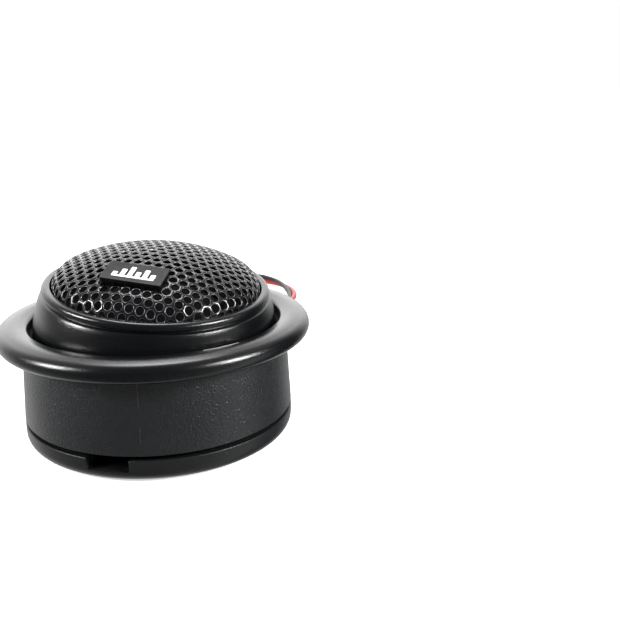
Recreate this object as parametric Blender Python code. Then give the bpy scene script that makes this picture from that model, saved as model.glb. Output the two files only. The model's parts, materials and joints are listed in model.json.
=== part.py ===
"""A round car tweeter that swivels in a surface-mounting cup, with its lead.

+Z is up and the cup's front faces -Y. The floor it stands on is z = 0, and the origin is the
centre of the base's underside. Outlines are given in millimetres. The core's heights are those
it has when it stands level: its empty then leans it to the angle it rests at.
"""
import math

import bmesh
import bpy
from mathutils import Matrix, Vector

MM = 0.001
SEGMENTS = 48                 # facets round a large turned piece
SMALL_SEGMENTS = 32           # facets round the hidden pieces

# Driving dimensions (mm)
FLANGE_RADIUS = 30.0
FLANGE_TOP = 23.3
FLANGE_UNDERSIDE = 19.5
CUP_BOTTOM = 5.17
CUP_FOOT_RADIUS = 26.2
CUP_NECK_RADIUS = 25.4
CUP_BORE = 24.5
BASE_RIM_TOP = 4.33
BASE_FLOOR = 1.8
SPIGOT_RADIUS = 23.6
SPIGOT_BORE = 22.2
SPIGOT_TOP = 9.4

# Twist lock between the base and the cup: three lugs on the base hold three tabs in the cup
LOCK_AZIMUTHS = (30.0, 150.0, 270.0)
LUG_SPAN = 24.0
TAB_SPAN = 21.0
STOP_SPAN = 3.0

# Lead outlets through the base's rim
OUTLET_WIDTH = 8.0
FRONT_OUTLET_AZIMUTH = -101.4
REAR_OUTLET_AZIMUTH = 90.0

# The swivel: the core is a ball, on two pins in a ring that turns in the cup
SWIVEL_HEIGHT = 19.6
BALL_RADIUS = 23.4
SEAT_RADIUS = 23.55
PIN_AZIMUTH = 45.0
PIN_RADIUS = 0.8
PIN_HOLE_RADIUS = 0.88
LEAN = 6.65                   # degrees from level, towards the front right

# The grille: a flattened dome with a tight round shoulder
GRILLE_RADIUS = 19.8
GRILLE_CROWN = 39.8
GRILLE_SHOULDER = 4.35
GRILLE_SHOULDER_HEIGHT = 28.7
GRILLE_THICKNESS = 0.6

# The badge plate stands on the grille, its long side square to a line from the centre
BADGE_LENGTH = 11.2
BADGE_WIDTH = 6.25
BADGE_CENTRE = (-1.88, -11.98, 35.2)
BADGE_PITCH = 11.8
BADGE_YAW = -7.8
BADGE_DEPTH = 3.0              # before its underside is shaped to the grille
MARK_HEIGHTS = (1.5, 2.7, 3.7, 2.2, 3.2, 1.9)
MARK_STEP = 1.36
MARK_BAR = 0.86
MARK_STRIP = 0.5               # the strip that joins the bars
MARK_FOOT = -1.9

DOME_RADIUS = 12.65
DOME_RISE = 4.1
DOME_FOOT = 24.6

LEAD_DIAMETER = 2.9
LEAD_EXIT_HEIGHT = 3.3
LEAD_ON_FLOOR = 1.5
LEAD_ROUTE = (
    (0, 13, LEAD_EXIT_HEIGHT), (0, 18.5, LEAD_EXIT_HEIGHT), (0, 24, LEAD_EXIT_HEIGHT),
    (0, 28, 3.0), (-0.2, 33, 1.9), (-0.6, 38, LEAD_ON_FLOOR), (-1.6, 47, LEAD_ON_FLOOR),
    (-3.2, 60, LEAD_ON_FLOOR), (-4.4, 74, LEAD_ON_FLOOR), (-4.4, 88, LEAD_ON_FLOOR),
    (-2.2, 102, LEAD_ON_FLOOR), (3.2, 112.5, LEAD_ON_FLOOR), (11, 115.5, LEAD_ON_FLOOR),
    (18, 110.5, LEAD_ON_FLOOR), (22.6, 102.5, LEAD_ON_FLOOR), (24.6, 93, LEAD_ON_FLOOR),
    (23.4, 83, LEAD_ON_FLOOR), (18.4, 75, LEAD_ON_FLOOR), (12.4, 68, LEAD_ON_FLOOR),
    (9.6, 59, LEAD_ON_FLOOR), (10.2, 48, LEAD_ON_FLOOR),
)


# ---- materials ---------------------------------------------------------------------------------

def material(name, colour, roughness, metallic=0.0):
    """A Principled material in one colour."""
    made = bpy.data.materials.new(name)
    made.use_nodes = True
    made.diffuse_color = (*colour, 1.0)
    shader = made.node_tree.nodes["Principled BSDF"]
    shader.inputs["Base Color"].default_value = (*colour, 1.0)
    shader.inputs["Roughness"].default_value = roughness
    shader.inputs["Metallic"].default_value = metallic
    return made


# ---- outlines ----------------------------------------------------------------------------------

def arc(centre, radius, start, end, steps):
    """Points along an arc, both ends included; angles in degrees from the first axis."""
    return [(centre[0] + radius * math.cos(math.radians(start + (end - start) * i / steps)),
             centre[1] + radius * math.sin(math.radians(start + (end - start) * i / steps)))
            for i in range(steps + 1)]


def rounded(corners):
    """An outline whose corners with a third value are rounded to that radius."""
    points = []
    count = len(corners)
    for i, corner in enumerate(corners):
        here = Vector(corner[:2])
        if len(corner) < 3:
            points.append(here)
            continue
        before = (Vector(corners[i - 1][:2]) - here).normalized()
        after = (Vector(corners[(i + 1) % count][:2]) - here).normalized()
        half_angle = before.angle(after) / 2
        reach = corner[2] / math.tan(half_angle)
        centre = here + (before + after).normalized() * corner[2] / math.sin(half_angle)
        first = here + before * reach - centre
        last = here + after * reach - centre
        sweep = first.angle_signed(last)
        steps = 5 if corner[2] > 1.0 else 2
        for step in range(steps + 1):
            turn = Matrix.Rotation(-sweep * step / steps, 2)
            points.append(centre + turn @ first)
    return [tuple(point) for point in points]


# ---- solids ------------------------------------------------------------------------------------

def finish_mesh(name, bm, surface, parent, smooth_angle=35.0):
    """Turn a bmesh in millimetres into a closed object in metres."""
    bmesh.ops.remove_doubles(bm, verts=bm.verts, dist=1e-5)
    bmesh.ops.recalc_face_normals(bm, faces=bm.faces)
    bmesh.ops.scale(bm, vec=(MM, MM, MM), verts=bm.verts)
    mesh = bpy.data.meshes.new(name)
    bm.to_mesh(mesh)
    bm.free()
    mesh.shade_smooth()
    mesh.set_sharp_from_angle(angle=math.radians(smooth_angle))
    piece = bpy.data.objects.new(name, mesh)
    bpy.context.collection.objects.link(piece)
    if surface is not None:
        mesh.materials.append(surface)
    piece.parent = parent
    return piece


def turned(name, outline, surface=None, parent=None, segments=SEGMENTS, start=0.0, sweep=360.0):
    """A solid of revolution about Z. An outline that ends on the axis is left open there."""
    bm = bmesh.new()
    verts = [bm.verts.new((r, 0, z)) for r, z in outline]
    spin = Matrix.Rotation(math.radians(start), 3, "Z")
    bmesh.ops.rotate(bm, verts=verts, cent=(0, 0, 0), matrix=spin)
    if sweep < 360.0:
        profile = [bm.faces.new(verts)]
    else:
        on_axis = outline[0][0] == 0 and outline[-1][0] == 0
        pairs = list(zip(verts, verts[1:])) + ([] if on_axis else [(verts[-1], verts[0])])
        profile = [bm.edges.new(pair) for pair in pairs]
    bmesh.ops.spin(bm, geom=verts + profile, cent=(0, 0, 0), axis=(0, 0, 1),
                   angle=math.radians(sweep), steps=segments, use_merge=sweep >= 360.0)
    return finish_mesh(name, bm, surface, parent)


def box(name, low, high, surface=None, parent=None, turn=0.0):
    """A box between two corners, then turned about Z by so many degrees."""
    bm = bmesh.new()
    size = [b - a for a, b in zip(low, high)]
    middle = [(a + b) / 2 for a, b in zip(low, high)]
    bmesh.ops.create_cube(bm, size=1.0)
    bmesh.ops.scale(bm, vec=size, verts=bm.verts)
    bmesh.ops.translate(bm, vec=middle, verts=bm.verts)
    bmesh.ops.rotate(bm, verts=bm.verts, cent=(0, 0, 0),
                     matrix=Matrix.Rotation(math.radians(turn), 3, "Z"))
    return finish_mesh(name, bm, surface, parent)


def rod(name, start, end, radius, surface=None, parent=None, segments=16):
    """A cylinder from one point to another."""
    start, end = Vector(start), Vector(end)
    along = end - start
    bm = bmesh.new()
    bmesh.ops.create_cone(bm, cap_ends=True, segments=segments, radius1=radius, radius2=radius,
                          depth=along.length)
    placing = Matrix.Translation((start + end) / 2) @ along.to_track_quat("Z", "Y").to_matrix().to_4x4()
    bmesh.ops.transform(bm, matrix=placing, verts=bm.verts)
    return finish_mesh(name, bm, surface, parent)


def prism(name, outline, low, high, surface=None, parent=None, along="Z"):
    """An outline pulled straight from low to high, along Z, or along Y from the XZ plane."""
    bm = bmesh.new()
    if along == "Z":
        verts = [bm.verts.new((x, y, low)) for x, y in outline]
        shift = Vector((0, 0, high - low))
    else:
        verts = [bm.verts.new((x, low, z)) for x, z in outline]
        shift = Vector((0, high - low, 0))
    face = bm.faces.new(verts)
    pulled = bmesh.ops.extrude_face_region(bm, geom=[face])
    moved = [item for item in pulled["geom"] if isinstance(item, bmesh.types.BMVert)]
    bmesh.ops.translate(bm, vec=shift, verts=moved)
    return finish_mesh(name, bm, surface, parent)


def combine(target, tool, operation):
    """Cut a tool from a piece, or join it on, with an exact Boolean."""
    tool.hide_render = True
    tool.display_type = "WIRE"
    tool.parent = target.parent
    tool.matrix_basis = target.matrix_basis @ tool.matrix_basis
    boolean = target.modifiers.new(tool.name, "BOOLEAN")
    boolean.operation = operation
    boolean.object = tool
    boolean.solver = "EXACT"


def joint_empty(name, parent=None):
    """An empty that carries the pieces of one moving body."""
    empty = bpy.data.objects.new(name, None)
    bpy.context.collection.objects.link(empty)
    empty.parent = parent
    return empty


def around(radius, azimuth, height):
    """A point at a radius and an azimuth about Z."""
    turn = math.radians(azimuth)
    return (radius * math.cos(turn), radius * math.sin(turn), height)


# ---- the base ----------------------------------------------------------------------------------

def build_base(plastic):
    base = turned("base_plate", rounded([
        (5.0, 0), (CUP_FOOT_RADIUS, 0, 2.6), (CUP_FOOT_RADIUS, BASE_RIM_TOP, 0.3),
        (SPIGOT_RADIUS, BASE_RIM_TOP), (SPIGOT_RADIUS, SPIGOT_TOP, 0.3), (SPIGOT_BORE, SPIGOT_TOP),
        (SPIGOT_BORE, BASE_FLOOR), (6.6, BASE_FLOOR), (6.6, 3.0, 0.3), (5.0, 3.0, 0.3),
    ]), plastic)
    lug_outline = [(23.0, 8.2), (24.3, 8.2), (24.3, 9.2), (23.0, 9.2)]
    stop_outline = [(23.0, 6.4), (24.3, 6.4), (24.3, 8.7), (23.0, 8.7)]
    for number, azimuth in enumerate(LOCK_AZIMUTHS, 1):
        lug = turned(f"lug_{number}", lug_outline, segments=4, start=azimuth - LUG_SPAN / 2, sweep=LUG_SPAN)
        combine(base, lug, "UNION")
        stop = turned(f"lug_stop_{number}", stop_outline, segments=1,
                      start=azimuth - LUG_SPAN / 2 - STOP_SPAN + 1.0, sweep=STOP_SPAN)
        combine(base, stop, "UNION")
    half = OUTLET_WIDTH / 2
    front = box("front_outlet", (19.0, -half, 2.15), (28.0, half, BASE_RIM_TOP + 0.3),
                turn=FRONT_OUTLET_AZIMUTH)
    rear = box("rear_outlet", (19.0, -half, BASE_FLOOR), (28.0, half, 6.2), turn=REAR_OUTLET_AZIMUTH)
    combine(base, front, "DIFFERENCE")
    combine(base, rear, "DIFFERENCE")
    for side in (-1, 1):
        hole = turned(f"screw_hole_{side + 2}", [(0, -1.0), (1.7, -1.0), (1.7, 0.6), (3.3, 2.0), (0, 2.0)],
                      segments=16)
        hole.location.x = side * 14.0 * MM
        combine(base, hole, "DIFFERENCE")
        pilot = rod(f"clamp_pilot_{side + 2}", (side * 4.9, 18.5, 0.4), (side * 4.9, 18.5, 2.5), 0.7,
                    segments=12)
        combine(base, pilot, "DIFFERENCE")
    return base


def build_clamp(plastic, steel):
    """The bar that holds the lead down inside the base, and its two screws."""
    bridge = arc((0, 3.35), 2.5, 0, 180, 8)
    tunnel = arc((0, 3.3), 1.65, 180, 0, 8)
    outline = ([(6.5, 1.85), (6.5, 3.0), (2.5, 3.0)] + bridge + [(-2.5, 3.0), (-6.5, 3.0), (-6.5, 1.85),
               (-1.65, 1.85)] + tunnel + [(1.65, 1.85)])
    clamp = prism("cable_clamp", outline, 17.2, 19.8, plastic, along="Y")
    for side, name in ((-1, "clamp_screw_left"), (1, "clamp_screw_right")):
        place = side * 4.9
        combine(clamp, rod(f"{name}_hole", (place, 18.5, 1.0), (place, 18.5, 4.0), 0.72, segments=12),
                "DIFFERENCE")
        screw = turned(name, rounded([(0, 0.6), (0.6, 0.6), (0.6, 3.05), (1.3, 3.05), (1.3, 3.9, 0.4),
                                      (0, 3.9)]), steel, segments=12)
        screw.location = (place * MM, 18.5 * MM, 0)


def build_lead(rubber):
    """The lead, as a plain tube along a smooth curve through its route."""
    route = [Vector(point) * MM for point in LEAD_ROUTE]
    points = []
    for i in range(len(route) - 1):
        before = route[max(i - 1, 0)]
        after = route[min(i + 2, len(route) - 1)]
        for step in range(2):
            t = step / 2
            a, b = route[i], route[i + 1]
            points.append(0.5 * ((2 * a) + (b - before) * t + (2 * before - 5 * a + 4 * b - after) * t ** 2
                                 + (3 * a - before - 3 * b + after) * t ** 3))
    points.append(route[-1])
    curve = bpy.data.curves.new("lead", "CURVE")
    curve.dimensions = "3D"
    curve.bevel_depth = LEAD_DIAMETER / 2 * MM
    curve.bevel_resolution = 2
    curve.use_fill_caps = True
    spline = curve.splines.new("POLY")
    spline.points.add(len(points) - 1)
    for point, place in zip(spline.points, points):
        point.co = (*place, 1.0)
    curve.materials.append(rubber)
    lead = bpy.data.objects.new("lead", curve)
    bpy.context.collection.objects.link(lead)


# ---- the cup -----------------------------------------------------------------------------------

def build_cup(plastic, satin, felt, parent):
    cup = turned("cup_body", rounded([
        (CUP_BORE, CUP_BOTTOM), (CUP_FOOT_RADIUS, CUP_BOTTOM, 0.4), (CUP_NECK_RADIUS, FLANGE_UNDERSIDE - 0.1),
        (CUP_NECK_RADIUS, 21.1), (CUP_BORE, 21.1), (CUP_BORE, 15.0), (23.45, 15.0), (23.45, 13.8),
        (CUP_BORE, 12.9),
    ]), plastic, parent)
    tab_outline = [(23.85, 6.6), (25.0, 6.6), (25.0, 8.0), (23.85, 8.0)]
    for number, azimuth in enumerate(LOCK_AZIMUTHS, 1):
        tab = turned(f"tab_{number}", tab_outline, segments=4, start=azimuth - TAB_SPAN / 2 + 1.0,
                     sweep=TAB_SPAN)
        combine(cup, tab, "UNION")
    flange = turned("flange_ring", rounded([
        (24.1, 21.3), (24.1, FLANGE_TOP - 0.15, 1.3), (26.9, FLANGE_TOP), (FLANGE_RADIUS, FLANGE_TOP - 0.2, 1.8),
        (FLANGE_RADIUS, FLANGE_UNDERSIDE, 1.7), (CUP_NECK_RADIUS + 0.1, FLANGE_UNDERSIDE),
        (CUP_NECK_RADIUS + 0.1, 21.3),
    ]), satin, parent)
    combine(flange, box("pry_slot", (23.2, -4.5, 22.4), (24.75, 4.5, 24.5), turn=-51.5), "DIFFERENCE")
    turned("friction_ring", [(23.6, 15.1), (24.35, 15.1), (24.35, 15.5), (23.6, 15.5)], felt, parent,
           segments=SMALL_SEGMENTS)


def build_swivel_ring(plastic, parent):
    low, high = 15.6, 21.1
    reach = [math.degrees(math.asin((z - SWIVEL_HEIGHT) / SEAT_RADIUS)) for z in (low, high)]
    seat = arc((0, SWIVEL_HEIGHT), SEAT_RADIUS, reach[1], reach[0], 4)
    ring = turned("swivel_ring", [(24.3, low), (24.3, high)] + seat, plastic, parent)
    ends = [around(26.0, azimuth, SWIVEL_HEIGHT) for azimuth in (PIN_AZIMUTH, PIN_AZIMUTH + 180)]
    combine(ring, rod("pin_holes", *ends, PIN_HOLE_RADIUS, segments=20), "DIFFERENCE")


# ---- the core ----------------------------------------------------------------------------------

def build_housing(satin, parent):
    """The ball-sided housing: a rounded rim, a narrow groove, and a barrel down to the pins."""
    top = math.degrees(math.asin((27.4 - SWIVEL_HEIGHT) / BALL_RADIUS))
    bottom = math.degrees(math.asin((14.0 - SWIVEL_HEIGHT) / BALL_RADIUS))
    barrel = arc((0, SWIVEL_HEIGHT), BALL_RADIUS, top, bottom, 7)
    outline = rounded([(19.98, 29.62, 0.15), (21.6, 29.7, 0.85), (21.6, 28.45, 0.2), (21.2, 28.1),
                       (21.85, 27.8, 0.2)] + barrel + [
                      (21.1, 14.0), (21.1, 26.0), (18.6, 26.0), (18.6, 27.1), (19.98, 27.1)])
    housing = turned("bezel_housing", outline, satin, parent)
    for number, azimuth in enumerate((PIN_AZIMUTH, PIN_AZIMUTH + 180), 1):
        pin = rod(f"pin_{number}", around(22.4, azimuth, SWIVEL_HEIGHT), around(24.1, azimuth, SWIVEL_HEIGHT),
                  PIN_RADIUS)
        combine(housing, pin, "UNION")
    return housing


def grille_outline(offset):
    """The grille's outer surface, from the top to the foot of its shoulder, moved out by offset."""
    crown = GRILLE_CROWN + offset
    shoulder = GRILLE_SHOULDER + offset
    middle = GRILLE_RADIUS - GRILLE_SHOULDER
    lean = math.degrees(math.asin(middle / (GRILLE_CROWN - GRILLE_SHOULDER)))
    drop = (GRILLE_CROWN - GRILLE_SHOULDER) * math.cos(math.radians(lean))
    centre = (0, GRILLE_SHOULDER_HEIGHT - drop)
    return (arc(centre, crown, 90, 90 - lean, 6)[:-1]
            + arc((middle, GRILLE_SHOULDER_HEIGHT), shoulder, 90 - lean, 0, 4))


def build_grille(metal, parent):
    foot = 27.25
    outer = grille_outline(0.0)
    inner = grille_outline(-GRILLE_THICKNESS)
    outer[0] = (0, outer[0][1])
    inner[0] = (0, inner[0][1])
    outline = outer + [(GRILLE_RADIUS, foot), (GRILLE_RADIUS - GRILLE_THICKNESS, foot)] + inner[::-1]
    turned("grille", outline, metal, parent)


def build_badge(plastic, white, parent):
    """A flat-topped plate shaped underneath to the grille, with a white mark of level bars."""
    frame = (Matrix.Translation(Vector(BADGE_CENTRE)) @ Matrix.Rotation(math.radians(BADGE_YAW), 4, "Z")
             @ Matrix.Rotation(math.radians(BADGE_PITCH), 4, "X"))
    placing = frame.copy()
    placing.translation = frame.translation * MM

    length, width = BADGE_LENGTH / 2, BADGE_WIDTH / 2
    plate = box("badge_plate", (-length, -width, -BADGE_DEPTH), (length, width, 0), plastic, parent)
    bevel = plate.modifiers.new("edge", "BEVEL")
    bevel.width = 0.25 * MM
    bevel.segments = 2
    bevel.limit_method = "ANGLE"
    plate.matrix_basis = plate.matrix_basis @ placing

    under = grille_outline(0.1)
    under[0] = (0, under[0][1])
    seat = turned("badge_seat", under + [(under[-1][0], 20.0), (0, 20.0)])
    seat.hide_render = True
    seat.display_type = "WIRE"
    seat.parent = parent
    boolean = plate.modifiers.new("seat", "BOOLEAN")
    boolean.object = seat
    boolean.solver = "EXACT"

    last = (len(MARK_HEIGHTS) - 1) / 2
    reach = last * MARK_STEP + MARK_BAR / 2
    outline = [(-reach, MARK_FOOT), (reach, MARK_FOOT)]
    for i, height in reversed(list(enumerate(MARK_HEIGHTS))):
        left = (i - last) * MARK_STEP - MARK_BAR / 2
        right = left + MARK_BAR
        outline += [(right, MARK_FOOT + MARK_STRIP), (right, MARK_FOOT + height),
                    (left, MARK_FOOT + height), (left, MARK_FOOT + MARK_STRIP)]
    mark = prism("badge_mark", outline, 0.03, 0.15, white, parent)
    mark.matrix_basis = mark.matrix_basis @ placing
    return plate, mark


def build_motor(plastic, steel, magnet, copper, felt, parent):
    def piece(name, outline, surface):
        return turned(name, outline, surface, parent, segments=SMALL_SEGMENTS)

    piece("yoke_cup", rounded([(0, 13.6), (15.0, 13.6, 0.4), (15.0, 23.1), (13.3, 23.1), (13.3, 16.2),
                               (0, 16.2)]), steel)
    piece("magnet", [(0, 16.25), (11.4, 16.25), (11.4, 20.9), (0, 20.9)], magnet)
    piece("pole_plate", [(0, 20.95), (11.8, 20.95), (11.8, 23.0), (0, 23.0)], steel)
    piece("damping_pad", rounded([(0, 23.05), (9.5, 23.05), (9.5, 24.2, 0.4), (0, 24.2)]), felt)
    piece("mounting_ring", rounded([
        (15.15, 23.2), (20.95, 23.2), (20.95, 25.9), (18.4, 25.9, 0.4), (16.6, 24.55), (15.15, 24.55),
    ]), plastic)
    piece("rear_cover", [(15.2, 14.3), (20.9, 14.3), (20.9, 15.7), (15.2, 15.7)], plastic)
    for name, side, width in (("terminal_positive", 1, 4.8), ("terminal_negative", -1, 2.8)):
        outline = [(side * r, z) for r, z in ((16.0, 14.25), (19.4, 14.25), (19.4, 13.5), (17.6, 13.5),
                                              (17.6, 9.8), (16.8, 9.8), (16.8, 13.5), (16.0, 13.5))]
        tab = prism(name, outline, -width / 2, width / 2, copper, parent, along="Y")
        hole = rod(f"{name}_eye", (side * 15.0, 0, 11.2), (side * 19.0, 0, 11.2), 0.6, segments=12)
        combine(tab, hole, "DIFFERENCE")


def build_surround(silk, parent):
    outer = arc((14.1, 24.65), 1.05, 180, 0, 6)
    inner = arc((14.1, 24.65), 0.8, 0, 180, 6)
    outline = ([(12.75, 24.65), (12.75, 24.9)] + outer[1:-1] + [(16.4, 24.9), (16.4, 24.65)] + inner)
    turned("surround", outline, silk, parent, segments=SMALL_SEGMENTS)


def build_diaphragm(silk, foil, copper, parent):
    def skin(offset):
        radius = DOME_RADIUS - offset
        rise = DOME_RISE - offset
        ball = (radius ** 2 + rise ** 2) / (2 * rise)
        reach = math.degrees(math.asin(radius / ball))
        points = arc((0, DOME_FOOT + rise - ball), ball, 90 - reach, 90, 7)
        return points[:-1] + [(0, DOME_FOOT + rise)]

    def piece(name, outline, surface):
        return turned(name, outline, surface, parent, segments=SMALL_SEGMENTS)

    piece("dome_diaphragm", skin(0.25)[::-1] + skin(0.0), silk)
    piece("coil_former", [(12.25, 20.9), (12.5, 20.9), (12.5, 24.5), (12.25, 24.5)], foil)
    piece("voice_coil", [(12.55, 21.0), (12.9, 21.0), (12.9, 23.0), (12.55, 23.0)], copper)


# ---- the whole ---------------------------------------------------------------------------------

def main():
    for old in list(bpy.data.objects):
        bpy.data.objects.remove(old, do_unlink=True)

    grained = material("grained_plastic", (0.030, 0.031, 0.033), 0.55)
    satin = material("satin_plastic", (0.030, 0.032, 0.034), 0.36)
    inner_plastic = material("inner_plastic", (0.022, 0.022, 0.024), 0.6)
    painted = material("painted_metal", (0.040, 0.042, 0.045), 0.35, 0.5)
    white = material("white_print", (0.85, 0.86, 0.86), 0.4)
    steel = material("plated_steel", (0.55, 0.56, 0.58), 0.35, 1.0)
    magnet = material("nickel_magnet", (0.60, 0.60, 0.58), 0.25, 1.0)
    copper = material("copper", (0.72, 0.42, 0.26), 0.35, 1.0)
    felt = material("felt", (0.06, 0.06, 0.065), 0.95)
    silk = material("coated_silk", (0.05, 0.05, 0.055), 0.6)
    foil = material("former_foil", (0.65, 0.66, 0.68), 0.4, 1.0)
    rubber = material("wire_insulation", (0.05, 0.05, 0.05), 0.45)

    build_base(inner_plastic)
    build_clamp(inner_plastic, steel)
    build_lead(rubber)

    twist = joint_empty("cup_twist")
    build_cup(grained, satin, felt, twist)

    pan = joint_empty("swivel_pan", twist)
    build_swivel_ring(inner_plastic, pan)

    tilt = joint_empty("swivel_tilt", pan)
    tilt.location.z = SWIVEL_HEIGHT * MM
    tilt.rotation_mode = "AXIS_ANGLE"
    tilt.rotation_axis_angle = (math.radians(LEAN), *around(1.0, PIN_AZIMUTH, 0.0))
    core = joint_empty("core_floor", tilt)
    core.location.z = -SWIVEL_HEIGHT * MM
    build_housing(satin, core)
    build_grille(painted, core)
    build_badge(satin, white, core)
    build_motor(inner_plastic, steel, magnet, copper, felt, core)
    build_surround(silk, core)

    travel = joint_empty("diaphragm_travel", core)
    build_diaphragm(silk, foil, copper, travel)


main()
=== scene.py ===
# %% [markdown]
# # A swivelling car tweeter
#
# This is a small round loudspeaker for high notes, made to be screwed to a dashboard or a door.
# A base holds a cup with a twist lock, the cup wears a fat trim ring, and the speaker itself is a
# ball that leans and turns inside the cup behind a perforated steel grille.
#
# The engineering model is loaded first. It is the fixed frame: every piece made below sits where
# that model says and moves with one of its bodies. We keep its size, to print beside the finished size at the
# end.

# %% Load the frame
import json

import bmesh
import bpy
import numpy as np
from math import acos, atan2, cos, degrees, pi, radians, sin, sqrt, tan
from mathutils import Matrix, Vector


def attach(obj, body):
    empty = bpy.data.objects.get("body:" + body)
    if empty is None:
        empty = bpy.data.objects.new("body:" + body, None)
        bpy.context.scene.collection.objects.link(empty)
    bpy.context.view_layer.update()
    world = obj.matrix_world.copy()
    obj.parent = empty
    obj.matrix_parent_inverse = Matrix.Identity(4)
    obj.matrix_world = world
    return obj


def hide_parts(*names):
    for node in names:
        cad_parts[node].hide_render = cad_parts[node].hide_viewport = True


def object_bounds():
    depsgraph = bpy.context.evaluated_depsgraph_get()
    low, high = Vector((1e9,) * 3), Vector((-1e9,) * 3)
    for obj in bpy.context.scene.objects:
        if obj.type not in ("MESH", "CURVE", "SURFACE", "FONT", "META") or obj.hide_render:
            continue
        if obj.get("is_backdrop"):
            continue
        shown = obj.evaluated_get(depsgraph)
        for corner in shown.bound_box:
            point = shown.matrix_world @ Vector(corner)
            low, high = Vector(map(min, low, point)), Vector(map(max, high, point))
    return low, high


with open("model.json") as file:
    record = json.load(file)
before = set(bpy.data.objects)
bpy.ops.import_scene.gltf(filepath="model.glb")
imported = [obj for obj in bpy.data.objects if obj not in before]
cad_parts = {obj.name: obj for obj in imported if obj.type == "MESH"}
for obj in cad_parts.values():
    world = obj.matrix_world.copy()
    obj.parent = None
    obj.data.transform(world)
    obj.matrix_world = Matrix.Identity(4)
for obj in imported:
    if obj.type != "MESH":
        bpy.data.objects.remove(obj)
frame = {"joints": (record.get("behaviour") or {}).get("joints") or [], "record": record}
cad_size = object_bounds()
scene = bpy.context.scene

# %% [markdown]
# ## The way the core leans
#
# The core is drawn standing level, because outlines are simplest that way, and is then leaned
# into place. The joints tell us how: the tilt joint gives the point it leans about, and the
# voice coil slides along the core's own axis, so that axis is the core's "up".

# %% Where the core stands
MM = 0.001
joints = {joint["name"]: joint for joint in frame["joints"]}
pivot = Vector(joints["swivel_tilt"]["pos_m"])
core_up = Vector(joints["diaphragm_travel"]["axis"]).normalized()
LEAN = Vector((0, 0, 1)).rotation_difference(core_up).to_matrix().to_4x4()
CORE = Matrix.Translation(pivot) @ LEAN @ Matrix.Translation(-pivot)
LEVEL = Matrix.Identity(4)
print("the core leans", round(degrees(core_up.angle(Vector((0, 0, 1)))), 2), "degrees")

# %% [markdown]
# ## The camera
#
# A portrait of a small thing is taken from close by with a slightly long lens, looking a little
# down on it. The object stands left of the middle of the frame, so the camera is simply moved
# to its right; the sensor isn't shifted, and nothing is out of focus.

# %% Camera
camera = bpy.data.objects.new("camera", bpy.data.cameras.new("camera"))
scene.collection.objects.link(camera)
camera.data.sensor_width = 36
camera.data.lens = 46.8
camera.data.clip_start = 0.005
camera_place = Matrix.Translation((0.03016, -0.15186, 0.06808))
camera_turn = Matrix.Rotation(radians(90 - 16.303), 4, "X") @ Matrix.Rotation(radians(-0.346), 4, "Z")
camera.matrix_world = camera_place @ camera_turn
scene.camera = camera
print("camera", [round(value, 4) for value in camera.location])

# %% [markdown]
# ## Writing materials as sums
#
# A shader is a small calculation. Wiring it up node by node hides the calculation, so we wrap a
# node's output in a class that knows how to be added and multiplied. Writing `1 - mask * 0.3`
# then adds the Math nodes by itself. Any other node comes from one method, `node`, which takes
# the node's type, its settings, and what goes into its sockets.
#
# The same class serves Geometry Nodes later, because their Math nodes are the same ones.

# %% The expression class
class Term:
    """The output of a node, which can be used in a sum as if it were a number."""

    def __init__(self, sheet, socket):
        self.sheet = sheet
        self.socket = socket

    def sum(self, operation, *values):
        return self.sheet.node("ShaderNodeMath", {"operation": operation}, dict(enumerate(values)))

    def __add__(self, other):
        return self.sum("ADD", self, other)

    def __sub__(self, other):
        return self.sum("SUBTRACT", self, other)

    def __rsub__(self, other):
        return self.sum("SUBTRACT", other, self)

    def __mul__(self, other):
        return self.sum("MULTIPLY", self, other)

    def __truediv__(self, other):
        return self.sum("DIVIDE", self, other)

    def __pow__(self, other):
        return self.sum("POWER", self, other)

    def at_most(self, other):
        return self.sum("MINIMUM", self, other)

    def at_least(self, other):
        return self.sum("MAXIMUM", self, other)

    def above(self, other):
        return self.sum("GREATER_THAN", self, other)

    __radd__ = __add__
    __rmul__ = __mul__


class Sheet:
    """A node tree that is being drawn."""

    def __init__(self, tree):
        self.tree = tree

    def node(self, kind, settings=None, sockets=None, output=0):
        """Add a node, make its settings, then fill its sockets with values or links."""
        made = self.tree.nodes.new(kind)
        for name, value in (settings or {}).items():
            setattr(made, name, value)
        for key, value in (sockets or {}).items():
            if isinstance(value, Term):
                self.tree.links.new(value.socket, made.inputs[key])
            else:
                made.inputs[key].default_value = value
        return Term(self, made.outputs[output]) if made.outputs else None


def rise(sheet, value, low, high):
    """0 below low, 1 above high, and a smooth rise between."""
    sockets = {"Value": value, "From Min": low, "From Max": high}
    return sheet.node("ShaderNodeMapRange", {"interpolation_type": "SMOOTHSTEP"}, sockets)


operators = [name for name in vars(Term) if name.startswith("__") and name != "__init__"]
print("a Term overloads", ", ".join(name.strip("_") for name in operators if callable(vars(Term)[name])))

# %% [markdown]
# ## The studio
#
# Black plastic shows nothing but what it reflects, so the lighting *is* the look. The backdrop is
# bright, the room in front is dim, and the floor in front gives back only a little. What a
# direction sends back is looked up in two ramps round the horizon, one for just above it and one
# for the floor below it, and falls to a plain dim dome higher up. A dark screen on the right
# leaves a black stripe down the cup. The camera itself sees plain white, because a paper
# backdrop has no gradient.
#
# A soft box stands low on each side, which draws the two smears on the front of the trim ring,
# and a larger one hangs overhead, a little behind, and lights the tops.

# %% The room
scene.view_settings.view_transform = "Standard"

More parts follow.
